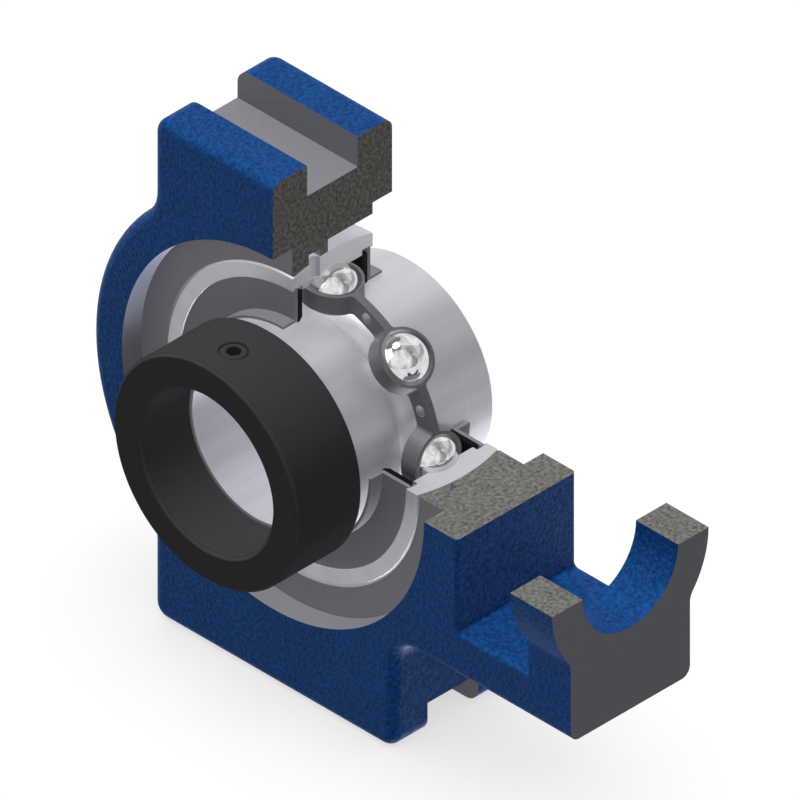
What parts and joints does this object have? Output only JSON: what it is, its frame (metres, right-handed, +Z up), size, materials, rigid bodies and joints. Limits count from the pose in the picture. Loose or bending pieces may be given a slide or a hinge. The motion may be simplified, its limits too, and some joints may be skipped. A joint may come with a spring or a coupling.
{
  "type": "take up bearing unit",
  "caption": "Sectioned take up bearing unit: cast slotted housing with guide grooves and a self-aligning ball bearing insert with eccentric locking collar.",
  "frame": {"origin": "centre of the bearing, on the shaft axis and in the plane through the ball centres", "axes": "+Y along the shaft away from the locking collar, +X towards the adjusting screw end, +Z up"},
  "size_m": [0.1135, 0.0486, 0.102],
  "materials": {
    "blue_casting": "blue enamel with a fine orange peel over cast iron, bare grey where machined or sectioned",
    "ring_steel": "fine ground bearing steel",
    "ball_chrome": "polished",
    "cage_steel": "dark pressed strip",
    "rivet_steel": "plain",
    "shield_steel": "dark phosphated sheet",
    "seal_rubber": "matt moulded",
    "black_steel": "black oxide, satin"
  },
  "bodies": {
    "housing": {"housing": "blue_casting"},
    "insert": {"outer_ring": "ring_steel", "front_seal_shield": "shield_steel", "front_seal_lip": "seal_rubber", "rear_seal_shield": "shield_steel", "rear_seal_lip": "seal_rubber"},
    "inner_race": {"inner_ring": "ring_steel"},
    "collar": {"locking_collar": "black_steel", "set_screw": "black_steel"},
    "cage": {"cage_front": "cage_steel", "cage_rear": "cage_steel", "cage_rivets": "rivet_steel"},
    "ball_1_body": {"ball_1": "ball_chrome"},
    "ball_2_body": {"ball_2": "ball_chrome"},
    "ball_3_body": {"ball_3": "ball_chrome"},
    "ball_4_body": {"ball_4": "ball_chrome"},
    "ball_5_body": {"ball_5": "ball_chrome"},
    "ball_6_body": {"ball_6": "ball_chrome"},
    "ball_7_body": {"ball_7": "ball_chrome"},
    "ball_8_body": {"ball_8": "ball_chrome"}
  },
  "joints": [
    {"name": "self_align", "type": "hinge", "parent": "housing", "child": "insert", "pos_m": [0, 0, 0], "axis": [0, 0, 1], "range_deg": [-2.5, 2.5]},
    {"name": "shaft_spin", "type": "hinge", "parent": "insert", "child": "inner_race", "pos_m": [0, 0, 0], "axis": [0, 1, 0], "continuous": true},
    {"name": "collar_lock", "type": "hinge", "parent": "inner_race", "child": "collar", "pos_m": [0, 0, 0], "axis": [0, 1, 0], "range_deg": [-12, 12]},
    {"name": "cage_spin", "type": "hinge", "parent": "insert", "child": "cage", "pos_m": [0, 0, 0], "axis": [0, 1, 0], "continuous": true},
    {"name": "ball_1_roll", "type": "hinge", "parent": "cage", "child": "ball_1_body", "pos_m": [0, 0, 0.023], "axis": [0, 1, 0], "continuous": true},
    {"name": "ball_2_roll", "type": "hinge", "parent": "cage", "child": "ball_2_body", "pos_m": [0.01626, 0, 0.01626], "axis": [0, 1, 0], "continuous": true},
    {"name": "ball_3_roll", "type": "hinge", "parent": "cage", "child": "ball_3_body", "pos_m": [0.023, 0, 0], "axis": [0, 1, 0], "continuous": true},
    {"name": "ball_4_roll", "type": "hinge", "parent": "cage", "child": "ball_4_body", "pos_m": [0.01626, 0, -0.01626], "axis": [0, 1, 0], "continuous": true},
    {"name": "ball_5_roll", "type": "hinge", "parent": "cage", "child": "ball_5_body", "pos_m": [0, 0, -0.023], "axis": [0, 1, 0], "continuous": true},
    {"name": "ball_6_roll", "type": "hinge", "parent": "cage", "child": "ball_6_body", "pos_m": [-0.01626, 0, -0.01626], "axis": [0, 1, 0], "continuous": true},
    {"name": "ball_7_roll", "type": "hinge", "parent": "cage", "child": "ball_7_body", "pos_m": [-0.023, 0, 0], "axis": [0, 1, 0], "continuous": true},
    {"name": "ball_8_roll", "type": "hinge", "parent": "cage", "child": "ball_8_body", "pos_m": [-0.01626, 0, 0.01626], "axis": [0, 1, 0], "continuous": true}
  ],
  "couplings": [
    {"joint": "cage_spin", "follows": "shaft_spin", "ratio": 0.39647},
    {"joint": "ball_1_roll", "follows": "shaft_spin", "ratio": -2.3112},
    {"joint": "ball_2_roll", "follows": "shaft_spin", "ratio": -2.3112},
    {"joint": "ball_3_roll", "follows": "shaft_spin", "ratio": -2.3112},
    {"joint": "ball_4_roll", "follows": "shaft_spin", "ratio": -2.3112},
    {"joint": "ball_5_roll", "follows": "shaft_spin", "ratio": -2.3112},
    {"joint": "ball_6_roll", "follows": "shaft_spin", "ratio": -2.3112},
    {"joint": "ball_7_roll", "follows": "shaft_spin", "ratio": -2.3112},
    {"joint": "ball_8_roll", "follows": "shaft_spin", "ratio": -2.3112}
  ]
}
